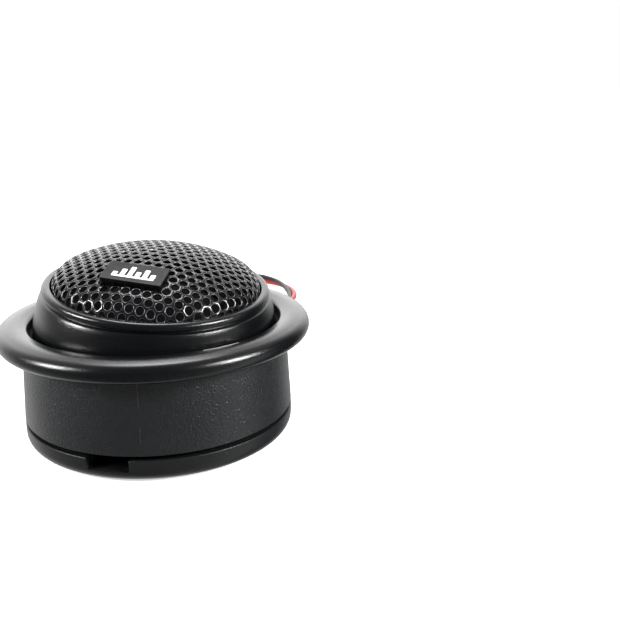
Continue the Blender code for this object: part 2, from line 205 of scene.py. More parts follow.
WALL = (
    (-180, 0.26), (-150, 0.13), (-86, 0.08), (-30, 0.17), (-4, 0.20), (8, 0.04), (44, 0.04),
    (62, 1.3), (80, 2.3), (107, 2.7), (136, 2.0), (152, 0.8), (168, 0.34),
)
GROUND = (
    (-180, 0.38), (-160, 0.30), (-146, 0.20), (-122, 0.09), (-90, 0.12), (-62, 0.20), (-34, 0.30),
    (-14, 1.1), (0, 0.9), (10, 0.03), (44, 0.03), (60, 0.8), (150, 1.1), (170, 0.42),
)
room = bpy.data.worlds.new("room")
scene.world = room
room.use_nodes = True
room.node_tree.nodes.clear()
sheet = Sheet(room.node_tree)
direction = sheet.node("ShaderNodeTexCoord", output="Generated")
x, y, z = [sheet.node("ShaderNodeSeparateXYZ", None, {0: direction}, axis) for axis in "XYZ"]
azimuth = sheet.node("ShaderNodeMath", {"operation": "ARCTAN2"}, {0: y, 1: x}) / (2 * pi) + 0.5
BRIGHTEST = 3.0


def round_horizon(levels):
    """Brightness by compass direction, from stops of an angle in degrees and a level."""
    ramp = room.node_tree.nodes.new("ShaderNodeValToRGB")
    for index, (angle, level) in enumerate(levels):
        place = angle / 360 + 0.5
        stop = ramp.color_ramp.elements[index] if index < 2 else ramp.color_ramp.elements.new(place)
        stop.position = place
        stop.color = (level / BRIGHTEST, level / BRIGHTEST, level / BRIGHTEST, 1)
    room.node_tree.links.new(azimuth.socket, ramp.inputs[0])
    return Term(sheet, ramp.outputs[0]) * BRIGHTEST


above = rise(sheet, z, -0.12, 0.10)
overhead = rise(sheet, z, 0.50, 0.72)
dome = 0.12 + rise(sheet, y, -0.6, 0.4) * 0.5
level = round_horizon(GROUND) * (1 - above) + round_horizon(WALL) * above
level = level * (1 - overhead) + dome * overhead
seen = sheet.node("ShaderNodeLightPath", output="Is Camera Ray")
level = level * (1 - seen) + seen
glow = sheet.node("ShaderNodeBackground", None, {"Color": (1, 1, 1, 1), "Strength": level})
sheet.node("ShaderNodeOutputWorld", None, {"Surface": glow})


# %% Soft boxes
def soft_box(name, towards, distance, size, power):
    """A square area light in a direction from the object, facing it; metres and watts."""
    lamp = bpy.data.lights.new(name, "AREA")
    lamp.size = size
    lamp.energy = power
    box = bpy.data.objects.new(name, lamp)
    scene.collection.objects.link(box)
    box.location = Vector(towards).normalized() * distance
    box.rotation_euler = (-Vector(towards)).to_track_quat("-Z", "Y").to_euler()


BOX_DISTANCE = 0.5
soft_box("left soft box", (-0.82, -0.30, 0.46), BOX_DISTANCE, size=0.12, power=2.6)
soft_box("right soft box", (0.81, -0.32, 0.49), BOX_DISTANCE, size=0.14, power=3.4)
soft_box("top soft box", (-0.09, 0.38, 0.92), BOX_DISTANCE, size=0.20, power=1.3)

# %% [markdown]
# ## A finish
#
# Every finish here ends in one Principled shader. What is the same all over, such as how strongly
# a plastic reflects, is set on the shader's own sockets. What changes over the surface is worked
# out from the point's place on the object, so that a grain has its true size in millimetres. Where
# only certain edges carry a painted highlight, the mesh carries a number on its points, an attribute,
# and `marked` reads it: 1 on a marked point, 0 on the others and on every mesh that has no such number.

# %% Starting and closing a finish
finishes = {}


def start(name):
    """A new material with an empty node tree."""
    material = bpy.data.materials.new(name)
    material.use_nodes = True
    material.node_tree.nodes.clear()
    finishes[name] = material
    return Sheet(material.node_tree)


def close(sheet, **sockets):
    """Join the values to a Principled shader and that to the material's output."""
    named = {key.replace("_", " "): value for key, value in sockets.items()}
    shader = sheet.node("ShaderNodeBsdfPrincipled", None, named)
    sheet.node("ShaderNodeOutputMaterial", None, {"Surface": shader})


def noise(sheet, size, detail=2.0, roughness=0.5, stretch=None):
    """Cloudy noise whose blobs are about size millimetres across, from 0 to 1."""
    place = sheet.node("ShaderNodeTexCoord", output="Object")
    if stretch:
        place = sheet.node("ShaderNodeVectorMath", {"operation": "MULTIPLY"}, {0: place, 1: stretch})
    sockets = {"Vector": place, "Scale": 1 / (size * MM), "Detail": detail, "Roughness": roughness}
    return sheet.node("ShaderNodeTexNoise", None, sockets)


def bump(sheet, height, depth, strength=1.0, under=None):
    """Turn a height from 0 to 1 into a bumpy surface of that depth in millimetres."""
    sockets = {"Height": height, "Distance": depth * MM, "Strength": strength}
    if under:
        sockets["Normal"] = under
    return sheet.node("ShaderNodeBump", None, sockets)


def marked(sheet, name):
    """A number that a mesh carries on its points, or 0 where it carries none."""
    return sheet.node("ShaderNodeAttribute", {"attribute_name": name}, output="Fac")


def blend_colours(sheet, factor, first, second):
    """A colour that goes from the first to the second as factor goes from 0 to 1."""
    first, second = [colour if isinstance(colour, Term) else (*colour, 1) for colour in (first, second)]
    return sheet.node("ShaderNodeMix", {"data_type": "RGBA"}, {0: factor, 6: first, 7: second}, output=2)


# %% [markdown]
# ## The plastics
#
# The whole housing is black ABS, but each moulding tool was finished differently. The cup was
# etched to a fine pebble that hides scratches. The trim ring is satin: smooth enough to catch a
# soft highlight, with a faint tooth at the highlight's edge, and painted pale on one lip as a painted
# highlight. The base is smooth, and has picked up a little dust. Hidden mouldings are plain and dull.
#
# Each one is a near-black colour, a roughness that wanders a little, and a bump of the right size.

# %% Plastic finishes
def grained_plastic():
    sheet = start("grained_plastic")
    grain = noise(sheet, 0.40, detail=1, roughness=0.4)
    tooth = noise(sheet, 0.2, detail=2)
    patches = noise(sheet, 9.0)
    dimples = rise(sheet, grain, 0.36, 0.56)
    relief = bump(sheet, dimples * 0.75 + tooth * 0.25, 0.065, 0.75)
    colour = blend_colours(sheet, patches, (0.0070, 0.0078, 0.0088), (0.0100, 0.0108, 0.0118))
    rough = 0.29 + tooth * 0.10 + patches * 0.06
    close(sheet, Base_Color=colour, Roughness=rough, Specular_IOR_Level=0.5, Normal=relief)


def satin_plastic():
    sheet = start("satin_plastic")
    tooth = noise(sheet, 0.16, detail=4, roughness=0.6)
    smears = noise(sheet, 7.0, detail=3)
    relief = bump(sheet, tooth, 0.025, 0.9)
    colour = blend_colours(sheet, smears, (0.0014, 0.0018, 0.0022), (0.0026, 0.0032, 0.0037))
    # Painted highlight: the lip's marked points are painted pale, standing in for light caught along the lip.
    colour = blend_colours(sheet, marked(sheet, "painted_highlight"), colour, (0.18, 0.17, 0.14))
    rough = 0.165 + smears * 0.05 + tooth * 0.06
    close(sheet, Base_Color=colour, Roughness=rough, Specular_IOR_Level=0.5, Normal=relief)


def base_plastic():
    sheet = start("base_plastic")
    tooth = noise(sheet, 0.3, detail=3)
    smears = noise(sheet, 11.0, detail=3)
    specks = rise(sheet, noise(sheet, 0.45, detail=1), 0.745, 0.78)
    relief = bump(sheet, tooth * 0.7 + specks * 0.3, 0.03, 0.45)
    colour = blend_colours(sheet, specks, (0.0085, 0.009, 0.0095), (0.06, 0.06, 0.058))
    rough = 0.32 + smears * 0.08 + specks * 0.3
    close(sheet, Base_Color=colour, Roughness=rough, Specular_IOR_Level=0.3, Normal=relief)


def inner_plastic():
    sheet = start("inner_plastic")
    tooth = noise(sheet, 0.35, detail=3)
    patches = noise(sheet, 8.0)
    relief = bump(sheet, tooth, 0.04, 0.5)
    colour = blend_colours(sheet, patches, (0.0035, 0.0035, 0.004), (0.006, 0.006, 0.0065))
    close(sheet, Base_Color=colour, Roughness=0.6 + tooth * 0.12, Specular_IOR_Level=0.06, Normal=relief)


for make in (grained_plastic, satin_plastic, base_plastic, inner_plastic):
    make()
print("plastics:", ", ".join(finishes))

# %% [markdown]
# ## Metals, paint, print and cloth
#
# The grille is pressed steel under semi-gloss black paint, which pools softly; its punched edges are
# painted pale grey as a painted highlight. Inside are a nickel-plated magnet, zinc-plated steel and
# enamelled copper wire. The dome is doped silk, whose weave shows as a fine criss-cross, and a felt
# pad sits behind it. The lead is soft vinyl on tinned copper strands. The badge carries a white printed sign.

# %% Other finishes
def painted_metal():
    sheet = start("painted_metal")
    orange_peel = noise(sheet, 0.45, detail=2)
    patches = noise(sheet, 6.0)
    # Painted highlight: the marked hole rims, and a little round them, are painted pale grey as if they were
    # catching light.
    painted_highlight = rise(sheet, marked(sheet, "rim") + patches * 0.3, 0.7, 1.1)
    relief = bump(sheet, orange_peel, 0.03, 0.5)
    colour = blend_colours(sheet, patches, (0.004, 0.004, 0.0045), (0.007, 0.007, 0.0075))
    colour = blend_colours(sheet, painted_highlight, colour, (0.13, 0.13, 0.14))
    rough = 0.12 + patches * 0.05 + orange_peel * 0.05
    close(sheet, Base_Color=colour, Roughness=rough, Specular_IOR_Level=0.52, Normal=relief)


def gloss_plate():
    sheet = start("gloss_plate")
    smears = noise(sheet, 3.0, detail=3)
    relief = bump(sheet, noise(sheet, 0.3), 0.01, 0.4)
    rough = 0.18 + smears * 0.12
    close(sheet, Base_Color=(0.003, 0.003, 0.0035, 1), Roughness=rough, Specular_IOR_Level=0.17,
          Normal=relief)


def white_print():
    sheet = start("white_print")
    wear = noise(sheet, 0.35, detail=4, roughness=0.7)
    relief = bump(sheet, wear, 0.02, 0.5)
    colour = blend_colours(sheet, wear, (0.80, 0.80, 0.80), (0.92, 0.92, 0.91))
    close(sheet, Base_Color=colour, Roughness=0.42 + wear * 0.2, Normal=relief)


def plated_steel():
    sheet = start("plated_steel")
    patches = noise(sheet, 2.5, detail=3)
    relief = bump(sheet, noise(sheet, 0.12, stretch=(1, 1, 6)), 0.008, 0.5)
    colour = blend_colours(sheet, patches, (0.52, 0.53, 0.55), (0.68, 0.69, 0.70))
    close(sheet, Base_Color=colour, Metallic=1.0, Roughness=0.28 + patches * 0.14, Normal=relief)


def nickel_magnet():
    sheet = start("nickel_magnet")
    patches = noise(sheet, 3.0, detail=3)
    relief = bump(sheet, noise(sheet, 0.25), 0.01, 0.4)
    colour = blend_colours(sheet, patches, (0.46, 0.45, 0.43), (0.58, 0.57, 0.54))
    close(sheet, Base_Color=colour, Metallic=1.0, Roughness=0.2 + patches * 0.12, Normal=relief)


def copper():
    """Enamelled wire: its turns are ridges, stacked along the core's axis."""
    sheet = start("copper")
    place = sheet.node("ShaderNodeTexCoord", output="Object")
    sockets = {0: place, 1: tuple(core_up)}
    up = sheet.node("ShaderNodeVectorMath", {"operation": "DOT_PRODUCT"}, sockets, "Value")
    half_turn = 0.06 * MM
    turns = sheet.node("ShaderNodeMath", {"operation": "PINGPONG"}, {0: up, 1: half_turn})
    relief = bump(sheet, turns / half_turn, 0.05, 0.8)
    patches = noise(sheet, 1.5)
    colour = blend_colours(sheet, patches, (0.62, 0.22, 0.10), (0.78, 0.33, 0.16))
    close(sheet, Base_Color=colour, Metallic=1.0, Roughness=0.22 + patches * 0.1, Normal=relief)


def felt():
    sheet = start("felt")
    fibres = noise(sheet, 0.12, detail=5, roughness=0.7, stretch=(1, 3, 1))
    relief = bump(sheet, fibres, 0.15, 0.9)
    colour = blend_colours(sheet, fibres, (0.02, 0.02, 0.022), (0.07, 0.07, 0.072))
    close(sheet, Base_Color=colour, Roughness=0.9, Specular_IOR_Level=0.2, Sheen_Weight=0.3, Normal=relief)


def silk():
    """A plain weave, drawn as two sets of threads that cross at right angles."""
    sheet = start("silk")
    place = sheet.node("ShaderNodeTexCoord", output="Object")
    per_thread = 2 * pi / (0.24 * MM)
    weave = 0.5
    for axis in "XY":
        across = sheet.node("ShaderNodeSeparateXYZ", None, {0: place}, axis)
        weave = sheet.node("ShaderNodeMath", {"operation": "SINE"}, {0: across * per_thread}) * weave
    weave = weave + 0.5
    relief = bump(sheet, weave, 0.03, 0.7)
    colour = blend_colours(sheet, weave, (0.004, 0.004, 0.0045), (0.008, 0.008, 0.0085))
    close(sheet, Base_Color=colour, Roughness=0.62 + weave * 0.12, Specular_IOR_Level=0.02, Normal=relief)


def former_foil():
    sheet = start("former_foil")
    patches = noise(sheet, 1.2, detail=3)
    colour = blend_colours(sheet, patches, (0.60, 0.60, 0.62), (0.76, 0.76, 0.78))
    close(sheet, Base_Color=colour, Metallic=1.0, Roughness=0.3 + patches * 0.15)


def wire_vinyl(name, dark, pale):
    sheet = start(name)
    patches = noise(sheet, 4.0, detail=3)
    relief = bump(sheet, noise(sheet, 0.25, detail=3), 0.03, 0.5)
    colour = blend_colours(sheet, patches, dark, pale)
    close(sheet, Base_Color=colour, Roughness=0.34 + patches * 0.12, Specular_IOR_Level=0.45, Normal=relief)


def tinned_copper():
    """Bare strands: fine ridges that wind round the bundle."""
    sheet = start("tinned_copper")
    strands = noise(sheet, 0.12, detail=2, stretch=(1, 0.2, 1))
    relief = bump(sheet, strands, 0.08, 0.9)
    colour = blend_colours(sheet, strands, (0.45, 0.40, 0.34), (0.80, 0.76, 0.70))
    close(sheet, Base_Color=colour, Metallic=1.0, Roughness=0.3 + strands * 0.1, Normal=relief)


for make in (painted_metal, gloss_plate, white_print, plated_steel, nickel_magnet, copper, felt, silk,
             former_foil, tinned_copper):
    make()
wire_vinyl("black_vinyl", (0.008, 0.008, 0.008), (0.014, 0.014, 0.014))
wire_vinyl("red_vinyl", (0.30, 0.012, 0.010), (0.42, 0.022, 0.016))
print(len(finishes), "finishes in all")

# %% [markdown]
# ## The floor
#
# A sheet of white paper, far larger than the view, so that no edge shows. It is a hair below
# zero, where the base stands, so the two faces don't fight for the same place.

# %% Paper floor
def paper():
    sheet = start("paper")
    fibres = noise(sheet, 1.5, detail=3)
    colour = blend_colours(sheet, fibres, (0.90, 0.90, 0.90), (0.93, 0.93, 0.93))
    close(sheet, Base_Color=colour, Roughness=0.95, Specular_IOR_Level=0.1,
          Emission_Color=(1, 1, 1, 1), Emission_Strength=0.55)


paper()
floor_mesh = bpy.data.meshes.new("floor")
FLOOR_REACH = 3.0
corners = [(x, y, -0.05 * MM) for x, y in ((-1, -1), (1, -1), (1, 1), (-1, 1))]
floor_mesh.from_pydata([(x * FLOOR_REACH, y * FLOOR_REACH, z) for x, y, z in corners], [], [(0, 1, 2, 3)])
floor_mesh.materials.append(finishes["paper"])
floor = bpy.data.objects.new("floor", floor_mesh)
scene.collection.objects.link(floor)
floor.visible_glossy = False
floor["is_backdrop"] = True
print("floor", 2 * FLOOR_REACH, "m across")

# %% [markdown]
# ## The lead
#
# Two vinyl wires, one black and one red, loosely twisted together, leave the back of the base
# and lie on the floor. Their line is the engineering model's own: straight out of the outlet,
# down to the floor, and back in a loose loop behind the cup.
#
# We smooth the route's points with a Catmull-Rom curve, which passes through every one of them,
# and carry a little frame along it. Each wire is a tube whose middle circles the route as the
# frame advances: half a turn apart, the two wires touch all the way. The tinned ends are bare.

# %% The lead's centreline
LEAD_DIAMETER = 2.9
LEAD_ON_FLOOR = 1.5
OUT_OF_BASE = [(0, 13, 3.3), (0, 18.5, 3.3), (0, 24, 3.3), (0, 28, 3.0), (-0.2, 33, 1.9)]
ALONG_FLOOR = [
    (-0.6, 38), (-1.6, 47), (-3.2, 60), (-4.4, 74), (-4.4, 88), (-2.2, 102), (3.2, 112.5), (11, 115.5),
    (18, 110.5), (22.6, 102.5), (24.6, 93), (23.4, 83), (18.4, 75), (12.4, 68), (9.6, 59), (10.2, 48),
]
ROUTE = OUT_OF_BASE + [(x, y, LEAD_ON_FLOOR) for x, y in ALONG_FLOOR]


def smooth_line(points, steps):
    """A Catmull-Rom curve through the points, in millimetres."""
    points = [Vector(point) for point in points]
    padded = [2 * points[0] - points[1], *points, 2 * points[-1] - points[-2]]
    line = []
    for before, here, there, after in zip(padded, padded[1:], padded[2:], padded[3:]):
        for step in range(steps):
            t = step / steps
            line.append(0.5 * (2 * here + (there - before) * t
                               + (2 * before - 5 * here + 4 * there - after) * t ** 2
                               + (3 * here - before - 3 * there + after) * t ** 3))
    line.append(points[-1])
    return line


line = smooth_line(ROUTE, 12)
lead_length = sum((b - a).length for a, b in zip(line, line[1:]))
print("the lead is", round(lead_length), "mm long")

# %% Two wires round the line
WIRE_RADIUS = LEAD_DIAMETER / 4
TWIST_LENGTH = 90.0
LEAD_PHASE = 3.2
STRIPPED = 5.0
CORE_RADIUS = 0.42
SIDES = 12


def wire_tube(mesh, line, radius_at, offset, phase, material_at):
    """A closed tube that circles the line at an offset; lengths in millimetres."""
    side = Vector((1, 0, 0))
    travelled = 0.0
    rings = []
    for index, point in enumerate(line):
        before = line[max(index - 1, 0)]
        after = line[min(index + 1, len(line) - 1)]
        forward = (after - before).normalized()
        side = (side - forward * side.dot(forward)).normalized()
        over = forward.cross(side)
        travelled += (point - before).length
        turn = 2 * pi * travelled / TWIST_LENGTH + phase
        middle = point + (side * cos(turn) + over * sin(turn)) * offset
        radius = radius_at(travelled)
        ring = []
        for corner in range(SIDES):
            angle = 2 * pi * corner / SIDES
            ring.append(mesh.verts.new((middle + (side * cos(angle) + over * sin(angle)) * radius) * MM))
        rings.append((ring, travelled))
    for (first, _), (second, distance) in zip(rings, rings[1:]):
        for corner in range(SIDES):
            beside = (corner + 1) % SIDES
            face = mesh.faces.new((first[corner], first[beside], second[beside], second[corner]))
            face.material_index = material_at(distance)
            face.smooth = True
    for ring, distance, flip in ((rings[0][0], 0.0, True), (rings[-1][0], rings[-1][1], False)):
        cap = mesh.faces.new(list(reversed(ring)) if flip else ring)
        cap.material_index = material_at(distance)


def closer_line(line, distances):
    """The line with extra points at the given distances along it, for crisp steps."""
    fuller = [line[0]]
    travelled = 0.0
    for start_point, end_point in zip(line, line[1:]):
        length = (end_point - start_point).length
        for distance in distances:
            if travelled < distance < travelled + length:
                fuller.append(start_point.lerp(end_point, (distance - travelled) / length))
        fuller.append(end_point)
        travelled += length
    return fuller


strip_at = lead_length - STRIPPED
CRISP = 0.02
wire_line = closer_line(line, (strip_at - CRISP, strip_at + CRISP))
lead_mesh = bpy.data.meshes.new("lead_pair")
build = bmesh.new()
for phase, vinyl in ((LEAD_PHASE, 0), (LEAD_PHASE + pi, 1)):
    wire_tube(build, wire_line,
              lambda distance: WIRE_RADIUS if distance < strip_at else CORE_RADIUS,
              WIRE_RADIUS, phase,
              lambda distance, vinyl=vinyl: vinyl if distance < strip_at + CRISP / 2 else 2)
bmesh.ops.recalc_face_normals(build, faces=build.faces)
build.to_mesh(lead_mesh)
build.free()
for finish in ("black_vinyl", "red_vinyl", "tinned_copper"):
    lead_mesh.materials.append(finishes[finish])
lead = bpy.data.objects.new("lead_pair", lead_mesh)
scene.collection.objects.link(lead)
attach(lead, "base")
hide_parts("lead")
[value * MM for value in ROUTE[2]]
lead_length * MM
[list(point * MM) for point in line[::3]]
print("lead:", len(lead_mesh.polygons), "faces")

# %% [markdown]
# ## A lathe
#
# Almost every moulding of this tweeter is round, so one tool makes them all: it takes the outline
# of a section, as corners of radius and height, and sweeps it round the axis. A corner may carry
# a third number, its rounding radius, because no moulded edge is truly sharp and the thin
# highlight along it is what makes plastic look like plastic.

# %% Outline and lathe
TURNS = 192


def rounded(corners, arc_steps=7):
    """Replace each corner that has a radius with an arc; every number in millimetres."""
    outline = []
    for index, corner in enumerate(corners):
        here = Vector(corner[:2])
        radius = corner[2] if len(corner) > 2 else 0
        if not radius:
            outline.append(here)
            continue
        back = (Vector(corners[index - 1][:2]) - here).normalized()
        ahead = (Vector(corners[(index + 1) % len(corners)][:2]) - here).normalized()
        half = acos(max(-1, min(1, back.dot(ahead)))) / 2
        reach = radius / tan(half)
        middle = here + (back + ahead).normalized() * (radius / sin(half))
        first = here + back * reach - middle
        swing = first.angle_signed(here + ahead * reach - middle)
        start_angle = atan2(first.y, first.x)
        for step in range(arc_steps + 1):
            angle = start_angle - swing * step / arc_steps
            outline.append(middle + Vector((cos(angle), sin(angle))) * radius)
    return outline


def arc(middle, radius, first, last, steps):
    """Points on a circle from the first angle to the last, in degrees from the axis's side."""
    angles = [radians(first + (last - first) * step / steps) for step in range(steps + 1)]
    return [(middle[0] + radius * cos(angle), middle[1] + radius * sin(angle)) for angle in angles]


def show_mesh(name, build, place=LEVEL, sharp=38):
    """Make an object of a bmesh, smooth except where faces meet at more than sharp degrees."""
    bmesh.ops.recalc_face_normals(build, faces=build.faces)
    mesh = bpy.data.meshes.new(name)
    build.to_mesh(mesh)
    build.free()
    mesh.transform(Matrix.Scale(MM, 4))
    mesh.transform(place)
    mesh.shade_smooth()
    mesh.set_sharp_from_angle(angle=radians(sharp))
    piece = bpy.data.objects.new(name, mesh)
    scene.collection.objects.link(piece)
    return piece


def sweep(build, outline, first=0.0, span=360.0, turns=TURNS):
    """Sweep an outline round the axis, all the way or over a span of degrees."""
    whole = span >= 360
    count = turns if whole else max(2, int(turns * span / 360))
    rings = []
    for step in range(count if whole else count + 1):
        angle = radians(first + span * step / count)
        rings.append([build.verts.new((out * cos(angle), out * sin(angle), up)) for out, up in outline])
    pairs = list(zip(rings, rings[1:] + rings[:1])) if whole else list(zip(rings, rings[1:]))
    for near, far in pairs:
        for index in range(len(outline)):
            after = (index + 1) % len(outline)
            build.faces.new((near[index], near[after], far[after], far[index]))
    if not whole:
        build.faces.new(rings[0])
        build.faces.new(list(reversed(rings[-1])))


def settle(piece):
    """Keep the shape that a piece's modifiers give it, and drop the modifiers."""
    graph = bpy.context.evaluated_depsgraph_get()
    shape = bpy.data.meshes.new_from_object(piece.evaluated_get(graph))
    piece.modifiers.clear()
    piece.data = shape


def cut(piece, build, place=LEVEL):
    """Cut a tool's shape out of a piece."""
    tool = show_mesh("tool", build, place)
    boolean = piece.modifiers.new("cut", "BOOLEAN")
    boolean.operation = "DIFFERENCE"
    boolean.solver = "EXACT"
    boolean.object = tool
    settle(piece)
    bpy.data.objects.remove(tool)


def soften(piece, width, segments=2, over=42):
    """Round a piece's sharp edges by a width in millimetres."""
    bevel = piece.modifiers.new("soft edges", "BEVEL")
    bevel.width = width * MM
    bevel.segments = segments
    bevel.limit_method = "ANGLE"
    bevel.angle_limit = radians(over)
    bevel.harden_normals = True
    settle(piece)


def block(build, low, high, turn=0.0):
    """A box between two corners, turned about the axis by degrees."""
    spin = Matrix.Rotation(radians(turn), 3, "Z")
    verts = []
    for z in (low[2], high[2]):
        for x, y in ((low[0], low[1]), (high[0], low[1]), (high[0], high[1]), (low[0], high[1])):
            verts.append(build.verts.new(spin @ Vector((x, y, z))))
    for face in ((0, 3, 2, 1), (4, 5, 6, 7), (0, 1, 5, 4), (1, 2, 6, 5), (2, 3, 7, 6), (3, 0, 4, 7)):
        build.faces.new([verts[index] for index in face])


def finish_piece(piece, body, finish, slot, *nodes):
    """Give a finished piece its material and the body it moves with, and hide the nodes it stands for."""
    piece.data.materials.clear()
    piece.data.materials.append(finishes[finish])
    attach(piece, body)
    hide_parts(*nodes)
    print(piece.name, len(piece.data.polygons), "faces, rides on", body)


# %% [markdown]
# ## The trim ring
#
# The fat ring that covers the hole in the door is the first thing one sees. Its section is a
# low crown that rolls over into the outer edge. A shallow slot at the inner edge, with a fine lip,
# lets a blade lift the ring off. The lip's points are marked, and the finish paints them pale: a
# painted highlight along the lip.

# %% Trim ring
SLOT_AZIMUTH = -54.0
SLOT_REACH = 25.3
LIP_SPAN = 15.6
LIP = [(25.32, 22.7), (25.46, 22.7), (25.46, 23.22, 0.06), (25.32, 23.22, 0.06)]
build = bmesh.new()
sweep(build, rounded([
    (24.1, 21.3, 0.15), (24.1, 22.9, 0.9), (26.8, 23.45, 5.0), (30.0, 22.6, 1.9), (30.0, 19.5, 1.6),
    (25.5, 19.5, 0.15), (25.5, 21.3),
], 12))
trim_ring = show_mesh("trim_ring", build)
build = bmesh.new()
block(build, (23.0, -3.6, 22.6), (SLOT_REACH, 3.6, 24.0), turn=SLOT_AZIMUTH)
cut(trim_ring, build)
soften(trim_ring, 0.12)
build = bmesh.new()
build.from_mesh(trim_ring.data)
bpy.data.objects.remove(trim_ring)
bmesh.ops.scale(build, verts=build.verts, vec=(1 / MM,) * 3)
# Painted highlight: the lip's points are marked so that the finish paints them pale, like light caught on its
# edge.
painted_highlight = build.verts.layers.float.new("painted_highlight")
moulded = len(build.verts)
sweep(build, rounded(LIP, 4), SLOT_AZIMUTH - LIP_SPAN / 2, LIP_SPAN)
for vert in list(build.verts)[moulded:]:
    vert[painted_highlight] = 1.0
trim_ring = show_mesh("trim_ring", build)
finish_piece(trim_ring, "cup", "satin_plastic", "satin_plastic", "flange_ring")

# %% [markdown]
# ## The cup
#
# The cup is a short tapering tube. Where the two halves of its mould met, a fine line runs up
# the front, worn away here and there. Inside is the ledge that the swivel ring turns on, and
# three tabs near the bottom that catch the base's lugs. The wall is one sweep; the tabs are short
# sweeps of their own, and the mould line is a thin rib, broken in two.

# %% Cup
CUP_FOOT = (26.2, 5.17)
CUP_NECK = (25.4, 19.4)
CUP_BORE = 24.5
LUG_AZIMUTHS = (30, 150, 270)
TAB = [(24.52, 6.6), (24.52, 8.0), (23.85, 8.0, 0.15), (23.85, 6.6, 0.15)]
TAB_START = -42.5
TAB_SPAN = 21.0
MOULD_LINE = -87.7
build = bmesh.new()
sweep(build, rounded([
    (CUP_BORE, 5.17, 0.12), (*CUP_FOOT, 0.22), (*CUP_NECK, 0.2), (25.4, 21.1, 0.2), (CUP_BORE, 21.1, 0.15),
    (CUP_BORE, 15.0), (23.45, 15.0, 0.12), (23.45, 13.8, 0.12), (CUP_BORE, 12.9),
]))
for azimuth in LUG_AZIMUTHS:
    sweep(build, rounded(TAB, 3), azimuth + TAB_START, TAB_SPAN)


def wall_radius(height):
    """The cup's outside radius at a height, both in millimetres."""
    taper = (CUP_FOOT[0] - CUP_NECK[0]) / (CUP_NECK[1] - CUP_FOOT[1])
    return CUP_FOOT[0] - (height - CUP_FOOT[1]) * taper


for low, high in ((7.6, 10.6), (14.0, 18.7)):
    ridge = []
    for height in (low, high):
        for turn, proud in ((-0.28, -0.05), (0.0, 0.085), (0.28, -0.05)):
            angle = radians(MOULD_LINE + turn)
            out = wall_radius(height) + proud
            ridge.append(build.verts.new((out * cos(angle), out * sin(angle), height)))
    for face in ((0, 1, 4, 3), (1, 2, 5, 4), (2, 0, 3, 5), (0, 2, 1), (3, 4, 5)):
        build.faces.new([ridge[index] for index in face])
cup = show_mesh("cup_wall", build)
finish_piece(cup, "cup", "grained_plastic", "grained_plastic", "cup_body")

# %% [markdown]
# ## The base
#
# The base is a shallow dish with a soft bottom edge. Its raised collar goes up inside the cup
# and carries three lugs of the twist lock. The lead can leave through a slot at the back, or
# through the one at the front, which here is empty. Two countersunk holes take the screws that
# hold it to the car. The slots and holes are cut with simple tools, then the edges are eased.

# %% Base
FRONT_OUTLET = -101.4
BACK_OUTLET = 90.0
SCREW_PLACES = (-14.0, 14.0)
COUNTERSINK = [(0.0001, -0.5), (1.7, -0.5), (1.7, 0.35), (3.3, 1.95), (3.3, 2.4), (0.0001, 2.4)]
LUG = [(23.5, 8.2), (24.3, 8.2, 0.15), (24.3, 9.2, 0.15), (23.5, 9.2)]
LUG_SPAN = 24.0
build = bmesh.new()
sweep(build, rounded([
    (5.0, 0.0, 0.2), (26.2, 0.0, 2.6), (26.2, 4.33, 0.2), (23.6, 4.33), (23.6, 9.4, 0.3), (22.2, 9.4, 0.15),
    (22.2, 1.8), (6.6, 1.8), (6.6, 3.0, 0.3), (5.0, 3.0, 0.3),
], 9))
base = show_mesh("base_dish", build)
build = bmesh.new()
block(build, (20.0, -4.0, 2.15), (28.0, 4.0, 4.63), turn=FRONT_OUTLET)
cut(base, build)
build = bmesh.new()
block(build, (20.0, -4.0, 1.8), (28.0, 4.0, 6.2), turn=BACK_OUTLET)
cut(base, build)
for side in SCREW_PLACES:
    build = bmesh.new()
    sweep(build, COUNTERSINK, turns=48)
    bmesh.ops.translate(build, verts=build.verts, vec=(side, 0, 0))
    cut(base, build)
soften(base, 0.14)
build = bmesh.new()
build.from_mesh(base.data)
bmesh.ops.scale(build, verts=build.verts, vec=(1 / MM,) * 3)
for azimuth in LUG_AZIMUTHS:
    sweep(build, rounded(LUG, 3), azimuth - LUG_SPAN / 2, LUG_SPAN)
bpy.data.objects.remove(base)
base = show_mesh("base_dish", build)
finish_piece(base, "base", "base_plastic", "grained_plastic", "base_plate")

# %% [markdown]
# ## The core's bezel
#
# The bezel is the ball that swivels: its sides are a band of a sphere, so that it always fills
# its seat however it leans. On top is a wide satin rim, under the rim a narrow cove, and inside
# the rim a step that the grille is pressed into. Two short pins stick out of it on the tilt axis.

# %% Bezel
BALL_RADIUS = 23.4
BALL_TOP = 27.4
BALL_DROP = 13.4
BALL_STEPS = 30
SWIVEL_HEIGHT = pivot.z / MM
PIN_RADIUS = 0.8


def on_ball(height):
    """The ball's radius at a height, both in millimetres."""
    return sqrt(BALL_RADIUS ** 2 - (height - SWIVEL_HEIGHT) ** 2)


